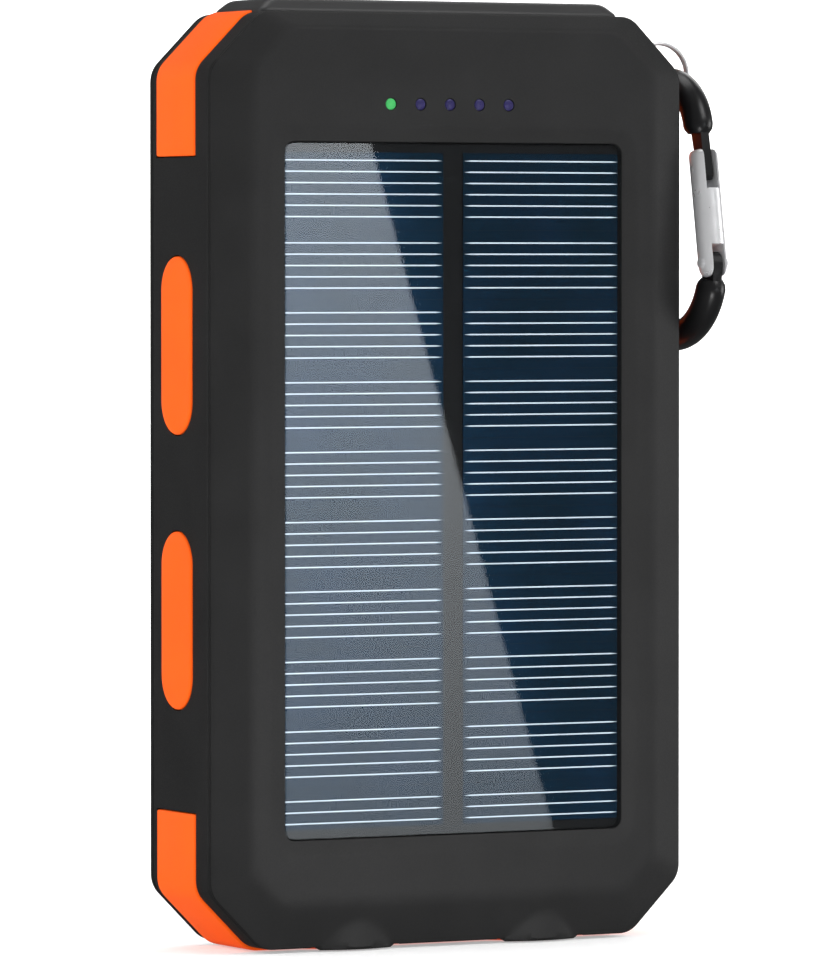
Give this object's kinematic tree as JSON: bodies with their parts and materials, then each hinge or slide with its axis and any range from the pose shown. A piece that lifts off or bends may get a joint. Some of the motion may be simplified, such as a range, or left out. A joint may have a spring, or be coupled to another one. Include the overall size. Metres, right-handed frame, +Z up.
{
  "type": "solar phone charger",
  "caption": "Rugged rectangular power bank with a solar panel face, orange rubber trims, end flashlights, a back compass, a port cover and a carabiner on a ring.",
  "frame": {"origin": "middle of the flashlight end, on the outer face of the orange band between the two flashlights", "axes": "+Z up from the flashlight end to the charging ports, the solar panel faces -Y, +X towards the carabiner side"},
  "size_m": [0.088, 0.0272, 0.142],
  "materials": {
    "case_black": "fine matt moulded, soft to the touch",
    "soft_black": "satin silicone rubber",
    "orange_rubber": "satin orange rubber",
    "panel_glass": "glossy clear laminate",
    "clear_plastic": "polished clear plastic",
    "solar_cell": "dark blue silicon with silver lines",
    "panel_board": "black backing sheet",
    "circuit_board": "green solder mask",
    "led_green": "lit green",
    "led_violet": "unlit dark blue",
    "led_white": "white with yellow phosphor",
    "plated_steel": "nickel plated",
    "reflector": "vacuum metallised",
    "white_plastic": "moulded",
    "component_black": "moulded",
    "battery_foil": "laminated foil pouch",
    "foam": "closed cell foam",
    "compass_dial": "printed black with white marks",
    "anodised_black": "black anodised, satin",
    "bare_aluminium": "polished"
  },
  "bodies": {
    "case": {"front_cover": "case_black", "mid_frame": "case_black", "rear_cover": "case_black", "compass_housing": "case_black", "compass_bezel": "case_black", "port_cover_tether": "soft_black", "case_seal": "soft_black", "corner_trim_left": "orange_rubber", "corner_trim_right": "orange_rubber", "flashlight_trim": "orange_rubber", "side_grip_left_upper": "orange_rubber", "side_grip_left_lower": "orange_rubber", "side_grip_right_upper": "orange_rubber", "side_grip_right_lower": "orange_rubber", "solar_panel_glass": "panel_glass", "compass_crystal": "clear_plastic", "flashlight_lens_left": "clear_plastic", "flashlight_lens_right": "clear_plastic", "indicator_light_guide": "clear_plastic", "solar_cells_left": "solar_cell", "solar_cells_right": "solar_cell", "solar_panel_board": "panel_board", "indicator_board": "circuit_board", "main_board": "circuit_board", "protection_board": "circuit_board", "flashlight_board": "circuit_board", "status_led_1": "led_green", "status_led_2": "led_violet", "status_led_3": "led_violet", "status_led_4": "led_violet", "status_led_5": "led_violet", "flashlight_led_left": "led_white", "flashlight_led_right": "led_white", "usb_shell_left": "plated_steel", "usb_shell_right": "plated_steel", "micro_usb_shell": "plated_steel", "case_screw_1": "plated_steel", "case_screw_2": "plated_steel", "case_screw_3": "plated_steel", "case_screw_4": "plated_steel", "lanyard_pin": "plated_steel", "compass_pivot": "plated_steel", "reflector_left": "reflector", "reflector_right": "reflector", "usb_tongue_left": "white_plastic", "usb_tongue_right": "white_plastic", "controller_chip": "component_black", "power_switch": "component_black", "battery_cell_front": "battery_foil", "battery_cell_rear": "battery_foil", "battery_foam": "foam"},
    "port_cover": {"port_cover": "soft_black"},
    "power_button": {"power_button": "soft_black", "switch_plunger": "white_plastic"},
    "compass_card": {"compass_card": "compass_dial"},
    "lanyard_ring": {"lanyard_ring": "plated_steel"},
    "carabiner": {"carabiner_body": "anodised_black", "gate_rivet": "plated_steel"},
    "carabiner_gate": {"carabiner_gate": "bare_aluminium", "gate_spring": "plated_steel"}
  },
  "joints": [
    {"name": "port_cover_hinge", "type": "hinge", "parent": "case", "child": "port_cover", "pos_m": [0, 0.0079, 0.14015], "axis": [-1, 0, 0], "range_deg": [0, 110]},
    {"name": "power_button_press", "type": "slide", "parent": "case", "child": "power_button", "axis": [-1, 0, 0], "range_m": [0, 0.0005], "stiffness_N_per_m": 1000, "springref_m": -0.0003},
    {"name": "compass_card_spin", "type": "hinge", "parent": "case", "child": "compass_card", "pos_m": [0, 0, 0.1175], "axis": [0, 1, 0], "continuous": true},
    {"name": "lanyard_ring_swing", "type": "hinge", "parent": "case", "child": "lanyard_ring", "pos_m": [0.0389, 0, 0.13145], "axis": [0, -1, 0], "range_deg": [0, 70]},
    {"name": "carabiner_swing", "type": "hinge", "parent": "lanyard_ring", "child": "carabiner", "pos_m": [0.0434, 0, 0.1282], "axis": [1, 0, 0], "range_deg": [-40, 40]},
    {"name": "carabiner_gate_open", "type": "hinge", "parent": "carabiner", "child": "carabiner_gate", "pos_m": [0.04429, -0.01272, 0.1026], "axis": [-0.9976, -0.0698, 0], "range_deg": [0, 28], "stiffness_Nm_per_rad": 0.01, "springref_deg": -17.19}
  ]
}
